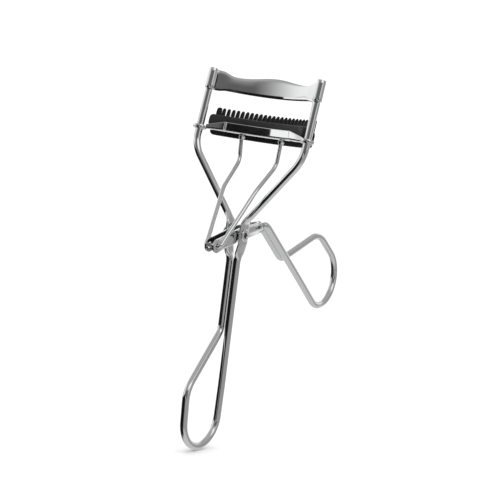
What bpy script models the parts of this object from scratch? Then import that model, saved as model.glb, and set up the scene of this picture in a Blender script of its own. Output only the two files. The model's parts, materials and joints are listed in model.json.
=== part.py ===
"""Eyelash curler with a comb: bent wire frame, sliding lower jaw, push wire, lever and handle."""

import math

import bmesh
import bpy
from mathutils import Matrix, Vector

# Driving dimensions, in millimetres and degrees unless a name says otherwise.
MM = 0.001
CLEARANCE = 0.3

PIVOT_Y = -24.55
PIVOT_Z = 63.28

WIRE_RADIUS = 1.12
LEG_X = 1.25
POST_X = 18.5
POST_LEAN = 12.6
SHOULDER_Y = 0.5
SHOULDER_Z = 24.3
SHOULDER_BEND = 10.0
EYELET_ALONG_POST = 5.85
SOCKET_ALONG_POST = 17.6
SOCKET_HEIGHT = 6.3
TENON_RADIUS = 0.75

RIVET_Y = -0.6
RIVET_Z = 0.4
CHEEK_INNER_X = 1.9
CHEEK_THICKNESS = 1.05
CHEEK_WIDTH = 4.7
CHEEK_TOP_Z = 4.2
CHEEK_BOTTOM_Z = -2.2
LEGS_MEET_Z = -7.5
CHEEK_TOP_BEND = 3.5
CHEEK_BOTTOM_BEND = 3.0
FLAT_STARTS_Z = (6.5, 3.2)
FLAT_ENDS_Z = (-7.0, -4.9)
PIN_RADIUS = 0.8
RIVET_HEAD_RADIUS = 1.9
RIVET_HEAD_THICKNESS = 0.5

FIXED_LOOP = {"bend": 28.6, "shoulder": 44.8, "bottom": 62.2, "width": 16.0}
HANDLE_LOOP = {"bend": 30.6, "shoulder": 43.3, "bottom": 64.1, "width": 19.1}
LOOP_BEND = 4.5
LOOP_SHOULDER_BEND = 8.0

LEVER_TILT = 9.1
HOOK_BACK = 11.93
HOOK_DROP = 1.25
EAR_RADIUS = 2.0
LEVER_HALF_WIDTH = 1.6
LEVER_WALL = 0.55
LEVER_END = 13.3
LEVER_BOTTOM = [(-9.0, -3.0), (0.5, -2.3), (6.5, -2.1), (LEVER_END, -1.75)]
LEVER_TOP = [(LEVER_END, 1.1), (6.5, 1.75), (0.5, 1.9), (-7.5, 1.15)]
TROUGH_FLOOR = [(-9.6, -4), (-9.0, -2.45), (0.5, -1.75), (6.5, -1.55), (15, -1.1)]
SLOT_RADIUS = 0.45
SLOT_ENDS = [(8.9, 0.35), (11.4, 0.25)]
HANDLE_CORNER = 15.5
HANDLE_DROP = 45.2
TONGUE_X = 0.5
TONGUE_THICKNESS = 0.7
TONGUE_START = 5.6

PUSH_RADIUS = 0.65
PUSH_X = 2.6
PUSH_SOFT_BEND = (5.5, -1.5, 13.6)
PUSH_KINK = (6.35, 7.0, 21.3)
PUSH_COLLAR = [(0.5, 1.5), (0.25, 1.75), (0.15, 1.0), (-0.8, 1.0), (-0.95, 1.6), (-1.3, 1.5)]
PUSH_NECK_END = -1.9
JAW_HOLE_X = 6.8
JAW_HOLE_RADIUS = 1.05

SHEET = 0.45
ARC_BULGE = 6.6
ARC_RADIUS = (POST_X**2 + ARC_BULGE**2) / (2 * ARC_BULGE)
JAW_RISE = 0.9
CREASE_X = 13.0
CURL_START = 66
CURL_TURN = 275
PLATE_MIDDLE_TOP = 6.7
PLATE_WAIST_TOP = 5.2
PLATE_WAIST_X = 12.5
PLATE_RISE = 0.4
PLATE_EDGE = 0.25
JAW_HALF_WIDTH = 2.1
JAW_WALL = 0.5
JAW_BOTTOM = -0.55
JAW_FLOOR_TOP = -0.05
JAW_NEAR_TOP = 2.1
JAW_FAR_TOP = 1.4
JAW_HALF_ANGLE = 36.0
EYELET_RADIUS = 2.05
EYELET_HEIGHT = 1.1
PAD_TOP = 4.2
PAD_BOTTOM = 0.8
PAD_HALF_ANGLE = 35.0
COMB_TOP = 3.8
COMB_BOTTOM = -1.45
COMB_THICKNESS = 1.1
COMB_HALF_ANGLE = 33.0
TEETH = 25
TEETH_HALF_ANGLE = 30.5
TOOTH_TOP = 7.2
TOOTH_WIDTH = 0.95
END_TOOTH_WIDTH = 1.5
CLIP_ANGLES = (-20.0, 0.0, 20.0)
CLIP_WIDTH = 3.0

CHROME = (0.78, 0.79, 0.81)
BLACK = (0.015, 0.015, 0.016)
SILICONE = (0.03, 0.03, 0.032)


def clear_scene():
    for obj in list(bpy.data.objects):
        bpy.data.objects.remove(obj, do_unlink=True)


def make_collection(name):
    collection = bpy.data.collections.new(name)
    bpy.context.scene.collection.children.link(collection)
    return collection


def make_material(name, colour, metallic, roughness):
    material = bpy.data.materials.new(name)
    material.use_nodes = True
    shader = material.node_tree.nodes["Principled BSDF"]
    shader.inputs["Base Color"].default_value = (*colour, 1.0)
    shader.inputs["Metallic"].default_value = metallic
    shader.inputs["Roughness"].default_value = roughness
    return material


def make_axis(name, collection, location, tilt=0.0, parent=None):
    """An empty on a joint's axis, turned about X by tilt degrees."""
    axis = bpy.data.objects.new(name, None)
    axis.empty_display_size = 0.01
    axis.location = Vector(location) * MM
    axis.rotation_euler = (math.radians(tilt), 0.0, 0.0)
    axis.parent = parent
    collection.objects.link(axis)
    return axis


def add_object(name, mesh, collection, material, parent):
    obj = bpy.data.objects.new(name, mesh)
    if material:
        mesh.materials.append(material)
    obj.parent = parent
    collection.objects.link(obj)
    return obj


def finish_mesh(mesh, angle=40.0):
    mesh.shade_smooth()
    mesh.set_sharp_from_angle(angle=math.radians(angle))
    return mesh


def loft(name, rings):
    """A closed mesh through rings of points (millimetres), all with the same number of points."""
    shape = bmesh.new()
    rows = [[shape.verts.new(Vector(point) * MM) for point in ring] for ring in rings]
    for row, following in zip(rows, rows[1:]):
        for i in range(len(row)):
            j = (i + 1) % len(row)
            shape.faces.new((row[i], row[j], following[j], following[i]))
    shape.faces.new(list(reversed(rows[0])))
    shape.faces.new(rows[-1])
    bmesh.ops.recalc_face_normals(shape, faces=shape.faces)
    mesh = bpy.data.meshes.new(name)
    shape.to_mesh(mesh)
    shape.free()
    return finish_mesh(mesh)


def rounded_path(corners, step=15.0):
    """Points along straight runs through corners, each corner a point and its bend radius."""
    points = [Vector(corners[0][0])]
    for before, (corner, radius), after in zip(corners, corners[1:], corners[2:]):
        corner = Vector(corner)
        back = (Vector(before[0]) - corner).normalized()
        ahead = (Vector(after[0]) - corner).normalized()
        turn = math.pi - back.angle(ahead)
        if radius == 0 or turn < 0.01:
            points.append(corner)
            continue
        reach = radius * math.tan(turn / 2)
        centre = corner + (back + ahead).normalized() * radius / math.cos(turn / 2)
        start = corner + back * reach - centre
        axis = start.cross(corner + ahead * reach - centre).normalized()
        steps = max(2, math.ceil(math.degrees(turn) / step))
        for i in range(steps + 1):
            points.append(centre + Matrix.Rotation(turn * i / steps, 3, axis) @ start)
    points.append(Vector(corners[-1][0]))
    return points


def subdivide_path(points, spacing, wanted):
    """The same path with points no further apart than spacing where wanted(point) is true."""
    result = [points[0]]
    for start, end in zip(points, points[1:]):
        middle = (start + end) / 2
        near = wanted(start) or wanted(end) or wanted(middle)
        count = math.ceil((end - start).length / spacing) if near else 1
        result += [start.lerp(end, i / count) for i in range(1, count + 1)]
    return result


def full_radius(point):
    return WIRE_RADIUS


def wire_rings(points, flattening, thickness, width, radius=full_radius, sides=12):
    """Rings round a bent wire whose section is pressed flat, square to X, where flattening(point) is 1."""
    rings = []
    for i, point in enumerate(points):
        before = points[max(i - 1, 0)]
        after = points[min(i + 1, len(points) - 1)]
        tangent = (after - before).normalized()
        across = Vector((1, 0, 0)) - tangent * tangent.x
        across.normalize()
        side = tangent.cross(across)
        flat = flattening(point)
        ring = []
        for k in range(sides):
            angle = math.radians(360 / sides * (k + 0.5))
            pressed = max(-1.0, min(1.0, 1.5 * math.cos(angle)))
            a = (1 - flat) * radius(point) * math.cos(angle) + flat * thickness / 2 * pressed
            b = ((1 - flat) * radius(point) + flat * width / 2) * math.sin(angle)
            ring.append(point + across * a + side * b)
        rings.append(ring)
    return rings


def smooth_step(value, low, high):
    t = max(0.0, min(1.0, (value - low) / (high - low)))
    return t * t * (3 - 2 * t)


def finger_loop(loop, place):
    """The corners of a finger loop, from its bend round to the straight leg; place(along, across, x)."""
    end_radius = loop["width"] / 2 - 0.05
    return [
        (place(loop["bend"], 0, -LEG_X), LOOP_BEND),
        (place(loop["shoulder"], loop["width"], -0.5), LOOP_SHOULDER_BEND),
        (place(loop["bottom"], loop["width"], 0.3), end_radius),
        (place(loop["bottom"], 0, 1.0), end_radius),
        (place(loop["shoulder"], 0, LEG_X), 0),
    ]


def along_post(distance):
    """(y, z) on a post, at this distance above the shoulder bend."""
    lean = math.radians(POST_LEAN)
    return SHOULDER_Y + distance * math.sin(lean), SHOULDER_Z + distance * math.cos(lean)


def make_frame_wire(collection, material, parent, cutters):
    cheek_x = CHEEK_INNER_X + CHEEK_THICKNESS / 2
    step_from = SOCKET_ALONG_POST - 0.35
    step_to = SOCKET_ALONG_POST - 0.1
    post_top = SOCKET_ALONG_POST + SOCKET_HEIGHT - 0.4

    def upper_corners(sign):
        return [
            ((sign * POST_X, *along_post(post_top)), 0),
            ((sign * POST_X, *along_post(step_to)), 0),
            ((sign * POST_X, *along_post(step_from)), 0),
            ((sign * POST_X, SHOULDER_Y, SHOULDER_Z), SHOULDER_BEND),
            ((sign * cheek_x, 0, CHEEK_TOP_Z), CHEEK_TOP_BEND),
            ((sign * cheek_x, 0, CHEEK_BOTTOM_Z), CHEEK_BOTTOM_BEND),
            ((sign * LEG_X, 0, LEGS_MEET_Z), CHEEK_BOTTOM_BEND),
        ]

    loop = finger_loop(FIXED_LOOP, lambda along, across, x: (x, -across, -along))
    corners = upper_corners(-1) + loop + list(reversed(upper_corners(1)))

    def flattening(point):
        if abs(point.x) > 6 or point.z < -10:
            return 0.0
        return smooth_step(point.z, *FLAT_STARTS_Z) * smooth_step(point.z, *FLAT_ENDS_Z)

    def radius(point):
        return TENON_RADIUS if point.z > along_post(step_to)[1] - 0.01 else WIRE_RADIUS

    points = subdivide_path(
        rounded_path(corners), 1.2, lambda p: abs(p.x) < 6 and -8 < p.z < 7
    )
    rings = wire_rings(points, flattening, CHEEK_THICKNESS, CHEEK_WIDTH, radius)
    frame = add_object("frame_wire", loft("frame_wire", rings), collection, material, parent)
    place = (0, RIVET_Y, RIVET_Z)
    cut(frame, add_cylinder("pivot_hole", cutters, PIN_RADIUS + CLEARANCE, 12, parent, place, "X"))


def add_cylinder(name, collection, radius, length, parent, location=(0, 0, 0), along="Z", sides=24):
    shape = bmesh.new()
    bmesh.ops.create_cone(
        shape,
        cap_ends=True,
        segments=sides,
        radius1=radius * MM,
        radius2=radius * MM,
        depth=length * MM,
    )
    if along == "X":
        bmesh.ops.rotate(
            shape, verts=shape.verts, matrix=Matrix.Rotation(math.radians(90), 3, "Y")
        )
    mesh = bpy.data.meshes.new(name)
    shape.to_mesh(mesh)
    shape.free()
    cylinder = add_object(name, finish_mesh(mesh), collection, None, parent)
    cylinder.location = Vector(location) * MM
    return cylinder


def hide_cutter(obj):
    obj.hide_render = True
    obj.display_type = "WIRE"


def cut(obj, cutter, operation="DIFFERENCE"):
    hide_cutter(cutter)
    modifier = obj.modifiers.new(cutter.name, "BOOLEAN")
    modifier.operation = operation
    modifier.object = cutter
    modifier.solver = "EXACT"


def plate_mesh(name, outline, half_thickness):
    """A flat outline of (y, z) points, filled and extruded along X to both sides."""
    curve = bpy.data.curves.new(name, "CURVE")
    curve.dimensions = "2D"
    curve.fill_mode = "BOTH"
    curve.extrude = half_thickness * MM
    spline = curve.splines.new("POLY")
    spline.points.add(len(outline) - 1)
    for point, (y, z) in zip(spline.points, outline):
        point.co = (y * MM, z * MM, 0, 1)
    spline.use_cyclic_u = True
    guide = bpy.data.objects.new(name + "_outline", curve)
    bpy.context.scene.collection.objects.link(guide)
    bpy.context.view_layer.update()
    evaluated = guide.evaluated_get(bpy.context.evaluated_depsgraph_get())
    mesh = bpy.data.meshes.new_from_object(evaluated)
    bpy.data.objects.remove(guide)
    shape = bmesh.new()
    shape.from_mesh(mesh)
    bmesh.ops.remove_doubles(shape, verts=shape.verts, dist=0.00001)
    turn = Matrix(((0, 0, 1), (1, 0, 0), (0, 1, 0)))
    bmesh.ops.transform(shape, matrix=turn.to_4x4(), verts=shape.verts)
    bmesh.ops.recalc_face_normals(shape, faces=shape.faces)
    shape.to_mesh(mesh)
    shape.free()
    mesh.name = name
    return finish_mesh(mesh)


def arc_points(centre, radius, start, end, steps):
    """(y, z) points on an arc between two angles in degrees."""
    angles = [math.radians(start + (end - start) * i / steps) for i in range(steps + 1)]
    return [(centre[0] + radius * math.cos(a), centre[1] + radius * math.sin(a)) for a in angles]


def make_lever_bracket(collection, material, lever, cutters):
    """A channel open at the top, with a rounded ear each side of the push wire's cross bar."""
    ears = arc_points((-HOOK_BACK, -HOOK_DROP), EAR_RADIUS, 85, 275, 12)
    outline = ears + LEVER_BOTTOM + LEVER_TOP
    mesh = plate_mesh("lever_bracket", outline, LEVER_HALF_WIDTH)
    bracket = add_object("lever_bracket", mesh, collection, material, lever)
    trough = [(-15, -4)] + TROUGH_FLOOR + [(15, 4), (-15, 4)]
    mesh = plate_mesh("lever_trough", trough, LEVER_HALF_WIDTH - LEVER_WALL)
    cut(bracket, add_object("lever_trough", mesh, cutters, None, lever))
    hole = PIN_RADIUS + CLEARANCE
    cut(bracket, add_cylinder("lever_hole", cutters, hole, 10, lever, along="X"))
    ear_hole = PUSH_RADIUS + CLEARANCE
    place = (0, -HOOK_BACK, -HOOK_DROP)
    cut(bracket, add_cylinder("ear_hole", cutters, ear_hole, 10, lever, place, "X", 16))
    near_end = arc_points(SLOT_ENDS[0], SLOT_RADIUS, 90, 270, 6)
    far_end = arc_points(SLOT_ENDS[1], SLOT_RADIUS, -90, 90, 6)
    mesh = plate_mesh("crimp_slot", near_end + far_end, 5)
    cut(bracket, add_object("crimp_slot", mesh, cutters, None, lever))


def make_handle_wire(collection, material, lever):
    drop = math.radians(HANDLE_DROP)
    down = Vector((0, math.cos(drop), -math.sin(drop)))
    outward = Vector((0, math.sin(drop), math.cos(drop)))
    offset = HANDLE_CORNER * math.sin(drop)

    def place(along, across, x):
        return Vector((x, 0, 0)) + down * along + outward * (offset + across)

    def upper_corners(sign):
        return [
            ((sign * TONGUE_X, TONGUE_START, 0), 0),
            ((sign * TONGUE_X, LEVER_END, 0), 0),
            ((sign * LEG_X, HANDLE_CORNER - 1.3, 0), 0),
            ((sign * LEG_X, HANDLE_CORNER, 0), 3.0),
        ]

    loop = finger_loop(HANDLE_LOOP, place)
    corners = upper_corners(-1) + loop + list(reversed(upper_corners(1)))

    def flattening(point):
        on_lever = point.y < HANDLE_CORNER and point.z > -1
        return smooth_step(point.y, LEVER_END + 1.6, LEVER_END) if on_lever else 0.0

    points = subdivide_path(
        rounded_path(corners), 1.0, lambda p: LEVER_END - 1 < p.y < LEVER_END + 2 and p.z > -1
    )
    rings = wire_rings(points, flattening, TONGUE_THICKNESS, 2 * WIRE_RADIUS - 0.3)
    add_object("handle_wire", loft("handle_wire", rings), collection, material, lever)


def make_pivot_rivet(collection, material, parent):
    """A semi-tubular rivet turned about Z, then laid along X; its rolled rim faces +X."""
    inner = CHEEK_INNER_X + CHEEK_THICKNESS + 0.2
    outer = inner + RIVET_HEAD_THICKNESS
    profile = [
        (0, outer - 0.8),
        (0.5, outer - 0.8),
        (0.65, outer - 0.1),
        (1.0, outer),
        (1.6, outer - 0.1),
        (RIVET_HEAD_RADIUS, inner + 0.2),
        (RIVET_HEAD_RADIUS - 0.1, inner),
        (PIN_RADIUS, inner),
        (PIN_RADIUS, -inner),
        (RIVET_HEAD_RADIUS - 0.1, -inner),
        (RIVET_HEAD_RADIUS, -inner - 0.2),
        (1.4, -outer + 0.15),
        (0.7, -outer - 0.05),
        (0, -outer - 0.1),
    ]
    mesh = bpy.data.meshes.new("pivot_rivet")
    points = [(radius * MM, 0, height * MM) for radius, height in profile]
    mesh.from_pydata(points, [(i, i + 1) for i in range(len(points) - 1)], [])
    rivet = add_object("pivot_rivet", mesh, collection, material, parent)
    rivet.location = Vector((0, RIVET_Y, RIVET_Z)) * MM
    rivet.rotation_euler = (0, math.radians(90), 0)
    screw = rivet.modifiers.new("turn", "SCREW")
    screw.axis = "Z"
    screw.steps = 24
    screw.render_steps = 24
    screw.use_merge_vertices = True
    screw.merge_threshold = 0.00001


def make_push_wire(collection, material, hook):
    """A round wire from jaw hole to jaw hole by way of a cross bar, each end swaged and headed."""
    lean = math.radians(POST_LEAN)
    up = Vector((0, math.sin(lean), math.cos(lean)))
    behind = arc_y(JAW_HOLE_X)
    top = jaw_place(JAW_HOLE_X, behind, JAW_RISE * behind / ARC_BULGE)
    foot = hook_place()
    side = [
        (top - up * 2.3, 0),
        (Vector(PUSH_KINK), 5.0),
        (Vector(PUSH_SOFT_BEND), 12.0),
        (Vector((PUSH_X, foot.y + 0.9, foot.z + 1.2)), 1.2),
        (Vector((PUSH_X - 0.15, foot.y, foot.z)), 0.8),
        (Vector((0, foot.y, foot.z)), 0),
    ]
    right = rounded_path(side, 20.0)
    collar = PUSH_COLLAR + [(PUSH_NECK_END, 1.0)]
    ends = [(top + up * height, radius) for height, radius in collar]
    half = ends + [(point, 1.0) for point in right]
    mirror = Matrix.Diagonal((-1, 1, 1))
    whole = half + [(mirror @ point, radius) for point, radius in reversed(half[:-1])]
    curve = bpy.data.curves.new("push_wire", "CURVE")
    curve.dimensions = "3D"
    curve.bevel_depth = PUSH_RADIUS * MM
    curve.bevel_resolution = 2
    curve.use_fill_caps = True
    spline = curve.splines.new("POLY")
    spline.points.add(len(whole) - 1)
    for point, (place, radius) in zip(spline.points, whole):
        point.co = (*((place - foot) * MM), 1)
        point.radius = radius
    add_object("push_wire", curve, collection, material, hook)


def hook_place():
    """The middle of the push wire's cross bar, from the pivot."""
    tilt = Matrix.Rotation(math.radians(LEVER_TILT), 3, "X")
    return Vector((0, RIVET_Y, RIVET_Z)) + tilt @ Vector((0, -HOOK_BACK, -HOOK_DROP))


def jaw_place(x, away, height):
    """A point given in the jaw's own directions, from the pivot."""
    y, z = along_post(EYELET_ALONG_POST)
    lean = math.radians(POST_LEAN)
    return Vector(
        (
            x,
            y + away * math.cos(lean) + height * math.sin(lean),
            z - away * math.sin(lean) + height * math.cos(lean),
        )
    )


def arc_y(x):
    """How far behind the posts the jaws' arc lies at this x."""
    return ARC_BULGE - ARC_RADIUS + math.sqrt(ARC_RADIUS**2 - x**2)


def arc_point(angle, offset, height):
    """A point at an angle along the jaws' arc, offset outwards from it."""
    turn = math.radians(angle)
    radius = ARC_RADIUS + offset
    return Vector(
        (radius * math.sin(turn), ARC_BULGE - ARC_RADIUS + radius * math.cos(turn), height)
    )


def risen(angle, offset, height):
    """The same point on the lower jaw, which bows upwards in the middle."""
    point = arc_point(angle, offset, height)
    behind = ARC_BULGE - ARC_RADIUS * (1 - math.cos(math.radians(angle)))
    point.z += JAW_RISE * behind / ARC_BULGE
    return point


def arc_angles(limit, step=3.0):
    count = 2 * math.ceil(limit / step)
    return [-limit + 2 * limit * i / count for i in range(count + 1)]


def make_upper_jaw(collection, material, sockets):
    """A sheet strip bent to the arc, each end passing behind its post and curling round it."""
    curl = TENON_RADIUS + 0.2 + SHEET / 2
    turn = math.degrees(math.asin(CREASE_X / ARC_RADIUS))
    arc = [arc_point(angle, 0, 0) for angle in arc_angles(turn)]
    curl_points = []
    for i in range(17):
        angle = math.radians(CURL_START - CURL_TURN * i / 16)
        curl_points.append(Vector((POST_X + curl * math.cos(angle), curl * math.sin(angle), 0)))
    straight = [arc[-1].lerp(curl_points[0], t) for t in (0.2, 0.4, 0.6, 0.8)]
    mirror = Matrix.Diagonal((-1, 1, 1))
    right = straight + curl_points
    path = [mirror @ point for point in reversed(right)] + arc + right

    def top(x):
        wave = 1 + math.cos(math.pi * min(abs(x) / PLATE_WAIST_X, 1.0))
        middle = PLATE_WAIST_TOP + (PLATE_MIDDLE_TOP - PLATE_WAIST_TOP) / 2 * wave
        rise = (SOCKET_HEIGHT - PLATE_WAIST_TOP) * smooth_step(abs(x), PLATE_WAIST_X, 16.6)
        return middle + rise

    def bottom(x):
        edge = PLATE_EDGE + PLATE_RISE * max(0.0, arc_y(x)) / ARC_BULGE
        return edge * smooth_step(abs(x), 16.6, 14.5)

    rings = []
    for i, point in enumerate(path):
        before = path[max(i - 1, 0)]
        after = path[min(i + 1, len(path) - 1)]
        along = (after - before).normalized()
        normal = Vector((-along.y, along.x, 0)) * SHEET / 2
        outer, inner = point + normal, point - normal
        low = Vector((0, 0, bottom(point.x)))
        high = Vector((0, 0, top(point.x)))
        rings.append([outer + low, inner + low, inner + high, outer + high])
    add_object("upper_jaw", loft("upper_jaw", rings), collection, material, sockets)


def make_lower_jaw(collection, material, jaw, cutters):
    """A curved channel that narrows to an eyelet round each post."""
    rings = []
    for angle in arc_angles(JAW_HALF_ANGLE):
        x = abs(arc_point(angle, 0, 0).x)
        near_top = JAW_NEAR_TOP - (JAW_NEAR_TOP - 0.3) * smooth_step(x, 12.5, 16.6)
        narrowing = max(0.0, min(1.0, (x - 13.0) / 4.0))
        far = JAW_HALF_WIDTH - 2.9 * narrowing
        far_top = JAW_FAR_TOP - (JAW_FAR_TOP - JAW_FLOOR_TOP - 0.1) * smooth_step(x, 11.5, 14.0)
        near = -JAW_HALF_WIDTH
        profile = [
            (near, JAW_BOTTOM),
            (far, JAW_BOTTOM),
            (far, far_top),
            (far - JAW_WALL, far_top),
            (far - JAW_WALL, JAW_FLOOR_TOP),
            (near + JAW_WALL, JAW_FLOOR_TOP),
            (near + JAW_WALL, near_top),
            (near, near_top),
        ]
        rings.append([risen(angle, offset, height) for offset, height in profile])
    channel = add_object("lower_jaw", loft("lower_jaw", rings), collection, material, jaw)
    for sign, side in ((-1, "left"), (1, "right")):
        post = (sign * POST_X, 0, 0)
        middle = (sign * POST_X, 0, JAW_BOTTOM - 0.15 + EYELET_HEIGHT / 2)
        ring = add_cylinder(f"{side}_eyelet", cutters, EYELET_RADIUS, EYELET_HEIGHT, jaw, middle)
        cut(channel, ring, "UNION")
        bore = add_cylinder(f"{side}_post_bore", cutters, WIRE_RADIUS + CLEARANCE, 6, jaw, post)
        cut(channel, bore)
        behind = arc_y(JAW_HOLE_X)
        place = (sign * JAW_HOLE_X, behind, JAW_BOTTOM + JAW_RISE * behind / ARC_BULGE)
        wire_hole = add_cylinder(f"{side}_wire_hole", cutters, JAW_HOLE_RADIUS, 2, jaw, place)
        wire_hole.scale = (1, 1.2, 1)
        cut(channel, wire_hole)


def make_lash_pad(collection, material, jaw):
    half = JAW_HALF_WIDTH - JAW_WALL - CLEARANCE
    rings = []
    for angle in arc_angles(PAD_HALF_ANGLE):
        shrink = 0.6 * smooth_step(abs(angle), PAD_HALF_ANGLE - 1.5, PAD_HALF_ANGLE)
        top = PAD_TOP - shrink
        profile = [
            (-half, PAD_BOTTOM),
            (half, PAD_BOTTOM),
            (half, top - 0.7),
            (half - 0.25, top - 0.2),
            (half - 0.7, top),
            (0.7 - half, top),
            (0.25 - half, top - 0.2),
            (-half, top - 0.7),
        ]
        rings.append([risen(angle, offset, height) for offset, height in profile])
    add_object("lash_pad", loft("lash_pad", rings), collection, material, jaw)


def make_lash_comb(collection, material, jaw, cutters):
    """A curved strip clipped behind the channel, with a row of fins on its top edge."""
    near = JAW_HALF_WIDTH + CLEARANCE
    far = near + COMB_THICKNESS
    rings = []
    for angle in arc_angles(COMB_HALF_ANGLE, 3.5):
        inset = 0.8 * smooth_step(abs(angle), COMB_HALF_ANGLE - 1.5, COMB_HALF_ANGLE)
        low = COMB_BOTTOM + inset
        high = COMB_TOP - inset
        profile = [(near, low + 0.2), (near + 0.2, low), (far - 0.2, low), (far, low + 0.2)]
        profile += [(far, high - 0.2), (far - 0.2, high), (near + 0.1, high), (near, high - 0.1)]
        rings.append([risen(angle, offset, height) for offset, height in profile])
    comb = add_object("lash_comb", loft("lash_comb", rings), collection, material, jaw)

    root = COMB_TOP - 0.4
    fin = [
        (near + 0.1, root),
        (near + 0.15, COMB_TOP + 0.5),
        (near + 0.4, TOOTH_TOP - 1.0),
        (near + 0.75, TOOTH_TOP - 0.2),
        (far - 0.05, TOOTH_TOP),
        (far - 0.1, root),
    ]
    meshes = []
    for i in range(TEETH):
        angle = TEETH_HALF_ANGLE * (2 * i / (TEETH - 1) - 1)
        width = END_TOOTH_WIDTH if i in (0, TEETH - 1) else TOOTH_WIDTH
        turn = math.degrees(width * 0.5 / ARC_RADIUS)
        sides = [
            [risen(angle + edge * turn, offset, height) for offset, height in fin]
            for edge in (-1, 1)
        ]
        meshes.append(loft(f"tooth_{i}", sides))
    for i, angle in enumerate(CLIP_ANGLES):
        turn = math.degrees(CLIP_WIDTH / 2 / ARC_RADIUS)
        clip = [(JAW_HALF_WIDTH - 0.4, 1.75), (near + 0.4, 1.75), (near + 0.4, 2.4)]
        clip += [(JAW_HALF_WIDTH - 0.4, 2.3)]
        sides = [
            [risen(angle + edge * turn, offset, height) for offset, height in clip]
            for edge in (-1, 1)
        ]
        meshes.append(loft(f"clip_{i}", sides))
    shape = bmesh.new()
    for mesh in meshes:
        shape.from_mesh(mesh)
        bpy.data.meshes.remove(mesh)
    fins = bpy.data.meshes.new("fins")
    shape.to_mesh(fins)
    shape.free()
    cut(comb, add_object("fins", fins, cutters, None, jaw), "UNION")


def main():
    clear_scene()
    parts = make_collection("eyelash_curler")
    cutters = make_collection("cutters")
    chrome = make_material("polished_steel", CHROME, 1.0, 0.08)
    handle_chrome = make_material("handle_steel", CHROME, 1.0, 0.12)
    black = make_material("comb_plastic", BLACK, 0.0, 0.35)
    silicone = make_material("pad_silicone", SILICONE, 0.0, 0.55)

    pivot = make_axis("pivot_axis", parts, (0, PIVOT_Y, PIVOT_Z))
    lever = make_axis("lever_axis", parts, (0, RIVET_Y, RIVET_Z), LEVER_TILT, pivot)
    hook = make_axis("hook_axis", parts, hook_place(), 0, pivot)
    jaw = make_axis("jaw_axis", parts, jaw_place(0, 0, 0), -POST_LEAN, pivot)
    sockets_at = (0, *along_post(SOCKET_ALONG_POST))
    sockets = make_axis("socket_axis", parts, sockets_at, -POST_LEAN, pivot)

    make_frame_wire(parts, chrome, pivot, cutters)
    make_upper_jaw(parts, chrome, sockets)
    make_pivot_rivet(parts, chrome, pivot)
    make_lever_bracket(parts, handle_chrome, lever, cutters)
    make_handle_wire(parts, handle_chrome, lever)
    make_push_wire(parts, chrome, hook)
    make_lower_jaw(parts, chrome, jaw, cutters)
    make_lash_pad(parts, silicone, jaw)
    make_lash_comb(parts, black, jaw, cutters)


main()
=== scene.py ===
"""Eyelash curler: polished wire and strip, a black comb and a silicone pad, on a pale floor."""

import json
import math

import bmesh
import bpy
from mathutils import Matrix, Vector


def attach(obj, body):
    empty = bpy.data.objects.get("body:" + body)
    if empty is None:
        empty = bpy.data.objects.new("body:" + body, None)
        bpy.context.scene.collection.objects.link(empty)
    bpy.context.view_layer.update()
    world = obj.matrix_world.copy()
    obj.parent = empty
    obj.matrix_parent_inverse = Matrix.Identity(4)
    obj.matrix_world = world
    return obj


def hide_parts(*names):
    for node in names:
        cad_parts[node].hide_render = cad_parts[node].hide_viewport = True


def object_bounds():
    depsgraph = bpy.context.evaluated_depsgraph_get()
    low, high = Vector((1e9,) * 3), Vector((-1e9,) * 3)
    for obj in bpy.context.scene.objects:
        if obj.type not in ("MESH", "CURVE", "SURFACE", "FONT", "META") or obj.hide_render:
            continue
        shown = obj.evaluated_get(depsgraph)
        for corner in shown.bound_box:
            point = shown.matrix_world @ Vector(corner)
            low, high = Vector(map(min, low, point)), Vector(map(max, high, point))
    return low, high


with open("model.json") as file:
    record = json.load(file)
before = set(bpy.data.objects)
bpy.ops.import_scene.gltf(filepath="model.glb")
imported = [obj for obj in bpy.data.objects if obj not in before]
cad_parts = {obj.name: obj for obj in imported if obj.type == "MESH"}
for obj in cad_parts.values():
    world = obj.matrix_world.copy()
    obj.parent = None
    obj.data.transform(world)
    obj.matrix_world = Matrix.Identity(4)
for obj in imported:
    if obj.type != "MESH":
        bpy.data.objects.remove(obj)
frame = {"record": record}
cad_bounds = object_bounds()
joints = {joint["name"]: joint for joint in frame["record"]["behaviour"]["joints"]}

# Anchors from the frame. Lengths below are in millimetres from DATUM, on the legs' centre line.
MM = 0.001
RIVET = Vector((0.0, -0.6, 0.4))
DATUM = Vector(joints["lever_pivot"]["pos_m"]) / MM - RIVET
HOOK = Vector(joints["push_wire_hook"]["pos_m"]) / MM - DATUM
POST_UP = Vector(joints["jaw_slide"]["axis"]).normalized()
POST_BACK = Vector((0.0, POST_UP.z, -POST_UP.y))

WIRE_RADIUS = 1.12
LEG_X = 1.25
POST_X = 18.5
SHOULDER = Vector((0.0, 0.5, 24.3))
EYELET_ALONG_POST = 5.85
SOCKET_ALONG_POST = 17.6
SOCKET_HEIGHT = 6.3
TENON_RADIUS = 0.75

CHEEK_X = 2.425
CHEEK_THICKNESS = 1.05
CHEEK_WIDTH = 4.7
CHEEK_TOP_Z = 4.2
CHEEK_BOTTOM_Z = -2.2
LEGS_MEET_Z = -7.5
FIXED_LOOP = {"bend": 28.6, "shoulder": 44.8, "bottom": 62.2, "width": 16.0}
HANDLE_LOOP = {"bend": 30.6, "shoulder": 43.3, "bottom": 64.1, "width": 19.1}

# The camera's bearing, from which the studio's zones are measured.
FRONT_BEARING = 31.23

LEVER_TILT = 9.1
HOOK_BACK = 11.93
HOOK_DROP = 1.25
LEVER_HALF_WIDTH = 1.6
LEVER_WALL = 0.55
LEVER_END = 13.3
HANDLE_CORNER = 15.5
HANDLE_DROP = 45.2
TONGUE_X = 0.5
TONGUE_THICKNESS = 0.7

PUSH_RADIUS = 0.65
PUSH_X = 2.6
JAW_HOLE_X = 6.8

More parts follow.
